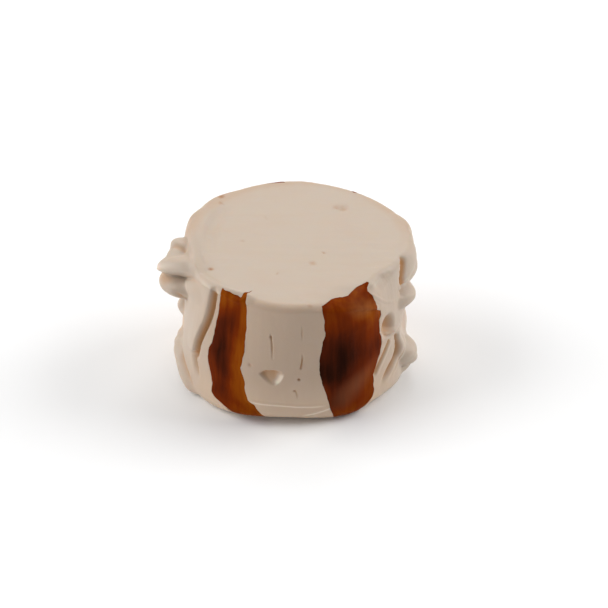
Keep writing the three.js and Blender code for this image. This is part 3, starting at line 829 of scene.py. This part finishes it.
def stripe_shell(name, gap, outside):
    """A stripe in the rope's face, thick in the middle and thin at its wavy edges.
    The cutter for its bed is the same shape, grown by the gap and reaching outside."""
    stripe = STRIPES[name]
    seed = STRIPE_SEED_STEP * list(STRIPES).index(name) + FIRST_STRIPE_SEED
    bm = bmesh.new()
    bmesh.ops.create_grid(bm, x_segments=STRIPE_CELLS[0], y_segments=STRIPE_CELLS[1], size=0.5)
    bmesh.ops.solidify(bm, geom=bm.faces[:], thickness=1.0)
    grid = np.array([vert.co for vert in bm.verts])
    share = grid[:, 0] + 0.5
    inner = grid[:, 2] < -0.5
    first = STRIPE_BASE_INSET - gap
    top_of_side = BASE_EDGE * math.pi / 2 + CUT_HEIGHT - BASE_EDGE - TOP_EDGE
    nibble = stripe["wobble"] * ragged(TOP_NIBBLE_SPREAD * share, seed + 1)
    last = top_of_side + along(stripe["top"], share) + nibble + gap
    run = first + (grid[:, 1] + 0.5) * (last - first)
    radius, height = rim_spots(run)
    start, end = stripe_edges(stripe, run, gap, seed)
    core_height = np.clip(height, STRIPE_CORE_INSET, CUT_HEIGHT - STRIPE_CORE_INSET)
    inward = np.stack([ROPE_RADIUS - STRIPE_CORE_INSET - radius, core_height - height], axis=-1)
    inward /= np.linalg.norm(inward, axis=1, keepdims=True)
    width = np.radians(end - start) * ROPE_RADIUS
    to_edge = np.minimum.reduce([share * width, (1 - share) * width, last - run, run - first])
    dip = STRIPE_EDGE_DIP * bump(to_edge / STRIPE_EDGE_WIDTH)
    thick = STRIPE_EDGE_DEPTH + (STRIPE_DEPTH - STRIPE_EDGE_DEPTH) * bump(2 * share - 1)
    bed = thick + BED_DEPTH_GAP if gap else thick
    depth = np.where(inner, bed, dip - outside)
    angle = start + share * (end - start)
    places = polar_points(angle, radius + inward[:, 0] * depth, height + inward[:, 1] * depth)
    tones, painted_sheens = stripe_tones(stripe, share, height / CUT_HEIGHT, seed)
    # The painted sheen, a reflection painted into the colour, is stored beside the amber tone
    amber_layer = bm.verts.layers.float.new("amber")
    painted_sheen_layer = bm.verts.layers.float.new("painted_sheen")
    for vert, place, tone, painted_sheen in zip(bm.verts, places, tones, painted_sheens):
        vert.co = place
        vert[amber_layer] = tone
        vert[painted_sheen_layer] = painted_sheen
    bmesh.ops.recalc_face_normals(bm, faces=bm.faces)
    return link_mesh(name, bm)


def cut_beds(body):
    """Cuts the stripes' beds into the plain rope."""
    cutters = [stripe_shell(name, BED_GAP, CUTTER_OUTSIDE) for name in STRIPES]
    for cutter in cutters:
        cut = body.modifiers.new(cutter.name, "BOOLEAN")
        cut.operation = "DIFFERENCE"
        cut.solver = "MANIFOLD"
        cut.object = cutter
    evaluated = body.evaluated_get(bpy.context.evaluated_depsgraph_get())
    body.data = bpy.data.meshes.new_from_object(evaluated)
    body.modifiers.clear()
    for cutter in cutters:
        bpy.data.objects.remove(cutter)


def smooth_shading(mesh, sharp_degrees):
    """Smooth shading that keeps the sharper creases."""
    mesh.shade_smooth()
    mesh.set_sharp_from_angle(angle=math.radians(sharp_degrees))


def cut_face(p):
    """One on the upper cut face, falling to zero towards its rim and below it."""
    near_top = ease((p[:, 2] - CUT_HEIGHT + CUT_FACE_DEPTH) / CUT_FACE_DEPTH)
    return near_top * ease((ROPE_RADIUS - radius_of(p)) / CUT_FACE_MARGIN)


def flecks_and_pits(p):
    """How strong the flecks' colour is, and how deep their pits are."""
    colors = np.zeros(len(p))
    depths = np.zeros(len(p))
    for angle, radius, height, size, strength, depth in FLECKS:
        middle = polar_points(np.array([angle]), radius, height)
        spread = bump(np.linalg.norm(p - middle, axis=1) / size)
        colors = np.maximum(colors, strength * spread)
        depths += depth * spread
    return colors, depths


def cream_body():
    """The cream body with its crumpled sides, cut marks, flecks and pits."""
    body = plain_rope()
    cut_beds(body)
    mesh = body.data
    smooth_shading(mesh, BODY_SHARP_DEGREES)
    p, normals, moved, ridges, painted_shading_total = crumple(mesh_points(mesh))
    on_top = cut_face(p)
    fleck, pits = flecks_and_pits(p)
    marks = uneven(p, *KNIFE_DRAG) * on_top + uneven(p, *PULL_LINES) * (1 - on_top)
    lift = uneven(p, *BROAD_WAVES) + marks - pits
    set_points(mesh, settle(moved + lift[:, None] * normals))
    # Light and shade painted into the colour: the cut face, the crumples and the raised ridges get the
    # paler lit tone, the rest of the side the warmer shaded one; the band above the base gets painted floor
    # bounce; creases and dents get painted shade, and crests with a value below zero painted highlights
    angle = angle_of(p)
    crumpled = np.maximum.reduce([bump(turn_from(angle, middle) / half) for middle, half in CRUMPLES])
    pale = np.maximum(on_top, CRUMPLE_PAINTED_LIGHT * crumpled) + RIDGE_PAINTED_HIGHLIGHT * clamp01(ridges / FULL_RIDGE)
    low = clamp01(LOW_PAINTED_BOUNCE * bump(p[:, 2] / LOW_PAINTED_BOUNCE_HEIGHT)) * (1 - crumpled)
    set_attribute(mesh, "pale", clamp01(pale))
    set_attribute(mesh, "low", low)
    set_attribute(mesh, "crease_shading_paint", np.clip(painted_shading_total / FULL_PAINTED_SHADING, -1, 1))
    set_attribute(mesh, "fleck", fleck)
    return body


def caramel_stripe(name):
    """One caramel stripe, with the wrinkles and streaks of the pull."""
    piece = stripe_shell(name, 0.0, 0.0)
    mesh = piece.data
    smooth_shading(mesh, STRIPE_SHARP_DEGREES)
    p, normals, moved = crumple(mesh_points(mesh))[:3]
    lift = uneven(p, STRIPES[name]["wrinkle"], *STRIPE_WRINKLES) + uneven(p, *STRIPE_PULL_LINES)
    set_points(mesh, settle(moved + lift[:, None] * normals))
    piece.name = name.replace("stripe", "caramel")
    return piece


# How rough the finer waves of every noise texture are
NOISE_ROUGHNESS = 0.55


class NodeTree:
    """Short ways to add and join shader nodes."""

    def __init__(self, name):
        self.material = bpy.data.materials.new(name)
        self.material.use_nodes = True
        self.tree = self.material.node_tree
        self.shader = self.tree.nodes["Principled BSDF"]

    def add(self, kind, **settings):
        node = self.tree.nodes.new("ShaderNode" + kind)
        for key, value in settings.items():
            setattr(node, key, value)
        return node

    def join(self, output, target):
        self.tree.links.new(output, target)

    def attribute(self, name):
        return self.add("Attribute", attribute_name=name).outputs["Fac"]

    def noise_texture(self, stretch, detail):
        """Noise on Object coordinates; stretch is waves per metre along X, Y and Z."""
        coords = self.add("TexCoord").outputs["Object"]
        mapping = self.add("Mapping")
        mapping.inputs["Scale"].default_value = stretch
        texture = self.add("TexNoise")
        texture.inputs["Scale"].default_value = 1.0
        texture.inputs["Detail"].default_value = detail
        texture.inputs["Roughness"].default_value = NOISE_ROUGHNESS
        self.join(coords, mapping.inputs["Vector"])
        self.join(mapping.outputs["Vector"], texture.inputs["Vector"])
        return texture.outputs["Fac"]

    def ramp(self, factor, stops):
        """A colour for each factor, from stops of a place and a colour."""
        node = self.add("ValToRGB")
        elements = node.color_ramp.elements
        while len(elements) < len(stops):
            elements.new(0.5)
        for element, (place, color) in zip(elements, stops):
            element.position = place
            element.color = (*color, 1.0)
        self.join(factor, node.inputs["Fac"])
        return node.outputs["Color"]

    def remap(self, value, low, high, to_low, to_high):
        """A value that goes from to_low to to_high while the given one goes from low to high."""
        node = self.add("MapRange")
        node.inputs["From Min"].default_value = low
        node.inputs["From Max"].default_value = high
        node.inputs["To Min"].default_value = to_low
        node.inputs["To Max"].default_value = to_high
        self.join(value, node.inputs["Value"])
        return node.outputs["Result"]

    def total(self, first, second):
        node = self.add("Math", operation="ADD")
        self.join(first, node.inputs[0])
        self.join(second, node.inputs[1])
        return node.outputs["Value"]

    def mix(self, factor, first, second):
        """A mix of two colours, each a tuple or another node's output."""
        node = self.add("Mix", data_type="RGBA")
        self.join(factor, node.inputs["Factor"])
        for socket, value in zip((node.inputs[6], node.inputs[7]), (first, second)):
            if isinstance(value, tuple):
                socket.default_value = (*value, 1.0)
            else:
                self.join(value, socket)
        return node.outputs[2]

    def relief(self, height, distance, strength, under=None):
        """Fine bumps that are too small to model, on top of those under them."""
        node = self.add("Bump")
        node.inputs["Strength"].default_value = strength
        node.inputs["Distance"].default_value = distance
        self.join(height, node.inputs["Height"])
        if under is not None:
            self.join(under, node.inputs["Normal"])
        return node.outputs["Normal"]


# Colours of the cream taffy and of the flecks in it. The lit and shaded tones, the floor bounce, the crease
# shade and the crest highlight are light and shade painted into the colour
CREAM_PAINTED_LIT = (0.530, 0.435, 0.350)
CREAM_PAINTED_SHADED = (0.520, 0.390, 0.290)
CREAM_PAINTED_FLOOR_BOUNCE = (0.660, 0.500, 0.370)
CREAM_STREAK = (0.530, 0.400, 0.290)
PAINTED_CREASE_SHADE = (0.520, 0.270, 0.110)
PAINTED_CREST_HIGHLIGHT = (0.860, 0.740, 0.620)
FLECK_COLOR = (0.360, 0.150, 0.055)


def cream_material():
    """Waxy cream taffy, with light and shade painted into its colour: paler as if lit on the cut, the
    crumples and raised folds, a warmer painted shade on the rest of the side, painted shade in the creases
    and dents, painted highlights on some crests, and painted floor bounce above the base.
    """
    nodes = NodeTree("cream_taffy")
    # The cut, the crumples and the ridges get the painted lit tone, the rest of the side the painted shaded
    # tone
    mottle = nodes.noise_texture((240, 240, 240), 4.0)
    pale = nodes.total(nodes.attribute("pale"), nodes.remap(mottle, 0.3, 0.7, -0.3, 0.3))
    color = nodes.mix(pale, CREAM_PAINTED_SHADED, CREAM_PAINTED_LIT)
    # Painted floor bounce brightens and warms the cream above the base
    color = nodes.mix(nodes.attribute("low"), color, CREAM_PAINTED_FLOOR_BOUNCE)
    streak = nodes.noise_texture((120, 620, 120), 3.0)
    color = nodes.mix(nodes.remap(streak, 0.5, 0.8, 0.0, 0.35), color, CREAM_STREAK)
    # Painted shade darkens and warms the creases and dents; below zero the same attribute paints a pale
    # highlight
    crease_shading_paint = nodes.attribute("crease_shading_paint")
    color = nodes.mix(nodes.remap(crease_shading_paint, 0.08, 0.75, 0.0, 0.95), color, PAINTED_CREASE_SHADE)
    color = nodes.mix(nodes.remap(crease_shading_paint, 0.0, -0.5, 0.0, 0.9), color, PAINTED_CREST_HIGHLIGHT)
    color = nodes.mix(nodes.attribute("fleck"), color, FLECK_COLOR)
    grain = nodes.noise_texture((2600, 2600, 2600), 3.0)
    drag = nodes.noise_texture((180, 1700, 180), 4.0)
    grain_relief = nodes.relief(grain, distance=0.00004, strength=0.35)
    drag_relief = nodes.relief(drag, distance=0.00008, strength=0.4, under=grain_relief)
    shader = nodes.shader
    nodes.join(color, shader.inputs["Base Color"])
    nodes.join(nodes.remap(mottle, 0.3, 0.7, 0.42, 0.56), shader.inputs["Roughness"])
    nodes.join(drag_relief, shader.inputs["Normal"])
    shader.inputs["Subsurface Weight"].default_value = 0.25
    shader.inputs["Subsurface Radius"].default_value = (1.0, 0.5, 0.25)
    shader.inputs["Subsurface Scale"].default_value = 0.0005
    shader.inputs["Specular IOR Level"].default_value = 0.35
    return nodes.material


# Colours of the caramel from its darkest to its most amber tone, and of the sheen painted on it as a
# reflection
CARAMEL_STOPS = [
    (0.0, (0.016, 0.0032, 0.0012)),
    (0.12, (0.030, 0.0056, 0.0016)),
    (0.3, (0.080, 0.0115, 0.0025)),
    (0.55, (0.174, 0.0240, 0.0015)),
    (0.8, (0.280, 0.0640, 0.0025)),
    (1.0, (0.400, 0.1100, 0.0120)),
]
CARAMEL_PAINTED_SHEEN = (0.230, 0.085, 0.040)


def caramel_material():
    """Dark caramel taffy: semi-gloss, amber where it is thin, streaked along the pull."""
    nodes = NodeTree("caramel_taffy")
    streak = nodes.noise_texture((1400, 1400, 110), 4.0)
    tone = nodes.total(nodes.attribute("amber"), nodes.remap(streak, 0.3, 0.7, -0.08, 0.08))
    # The painted sheen mixes a pale reflection into the caramel's colour
    color = nodes.mix(nodes.attribute("painted_sheen"), nodes.ramp(tone, CARAMEL_STOPS), CARAMEL_PAINTED_SHEEN)
    gloss = nodes.noise_texture((420, 420, 420), 3.0)
    wrinkle = nodes.noise_texture((900, 900, 500), 4.0)
    wrinkle_relief = nodes.relief(wrinkle, distance=0.00010, strength=0.4)
    streak_relief = nodes.relief(streak, distance=0.00006, strength=0.35, under=wrinkle_relief)
    shader = nodes.shader
    nodes.join(color, shader.inputs["Base Color"])
    nodes.join(nodes.remap(gloss, 0.35, 0.65, 0.26, 0.44), shader.inputs["Roughness"])
    nodes.join(streak_relief, shader.inputs["Normal"])
    shader.inputs["Specular IOR Level"].default_value = 0.015
    return nodes.material


def dress(piece, node, material):
    """Gives a piece its material and its place in the frame."""
    piece.data.materials.clear()
    piece.data.materials.append(material)
    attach(piece, "root")
    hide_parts(node)


# The stage is in metres, the camera's elevation in degrees and its sensor in millimetres. The camera
# looks along +Y and down, as the photograph's did, with this width in its frame at the taffy, and the
# lights aim at the middle of the taffy.
CAMERA_ELEVATION = 35
CAMERA_DISTANCE = 0.600
CAMERA_CLIP_START = 0.01
CAMERA_TARGET = Vector((0.00159, 0.0, 0.00713))
FRAME_WIDTH = 0.06414
SENSOR_WIDTH = 36
MIDDLE = Vector((0.0, 0.0, 0.007))

# Soft lights, with their powers in watts, and the strength of the even light from all round
SOFTBOXES = {
    "overhead": dict(place=(0.0, 0.29, 0.43), size=0.40, power=0.96),
    "left_side": dict(place=(-0.42, 0.0, 0.28), size=0.42, power=2.1),
    "right_side": dict(place=(0.40, 0.09, 0.27), size=0.34, power=1.75),
}
SURROUND_STRENGTH = 0.19

# The floor lies a hair below the base, so that the two faces never share a plane
FLOOR_SIZE = 2.0
FLOOR_GAP = 0.00002


def floor():
    """A plain pale floor that glows a little, like a lit tabletop."""
    bm = bmesh.new()
    bmesh.ops.create_grid(bm, x_segments=1, y_segments=1, size=FLOOR_SIZE)
    bmesh.ops.translate(bm, verts=bm.verts, vec=(0, 0, -FLOOR_GAP))
    ground = link_mesh("floor", bm)
    nodes = NodeTree("pale_floor")
    nodes.shader.inputs["Base Color"].default_value = (0.92, 0.92, 0.92, 1.0)
    nodes.shader.inputs["Emission Color"].default_value = (1.0, 1.0, 1.0, 1.0)
    nodes.shader.inputs["Emission Strength"].default_value = 0.02
    nodes.shader.inputs["Roughness"].default_value = 0.9
    ground.data.materials.append(nodes.material)


def softbox(name, place, size, power):
    """A square soft light aimed at the middle of the taffy."""
    light = bpy.data.lights.new(name, "AREA")
    light.size = size
    light.energy = power
    lamp = bpy.data.objects.new(name, light)
    lamp.location = place
    lamp.rotation_euler = (MIDDLE - Vector(place)).to_track_quat("-Z", "Y").to_euler()
    bpy.context.collection.objects.link(lamp)


def studio():
    """Soft light from above and both sides, and a dim even surround."""
    for name, settings in SOFTBOXES.items():
        softbox(name, **settings)
    world = bpy.data.worlds.new("studio")
    world.use_nodes = True
    background = world.node_tree.nodes["Background"]
    background.inputs["Color"].default_value = (1, 1, 1, 1)
    background.inputs["Strength"].default_value = SURROUND_STRENGTH
    bpy.context.scene.world = world
    bpy.context.scene.view_settings.view_transform = "Standard"


def camera():
    """A long lens at the photograph's angle."""
    lens = bpy.data.cameras.new("camera")
    lens.sensor_width = SENSOR_WIDTH
    lens.lens = SENSOR_WIDTH * CAMERA_DISTANCE / FRAME_WIDTH
    lens.clip_start = CAMERA_CLIP_START
    view = bpy.data.objects.new("camera", lens)
    rise = math.radians(CAMERA_ELEVATION)
    back = Vector((0, -math.cos(rise), math.sin(rise)))
    view.location = CAMERA_TARGET + CAMERA_DISTANCE * back
    view.rotation_euler = (math.pi / 2 - rise, 0, 0)
    bpy.context.collection.objects.link(view)
    bpy.context.scene.camera = view


camera()
studio()
floor()
dress(cream_body(), "taffy_body", cream_material())
caramel = caramel_material()
for stripe_name in STRIPES:
    dress(caramel_stripe(stripe_name), stripe_name, caramel)
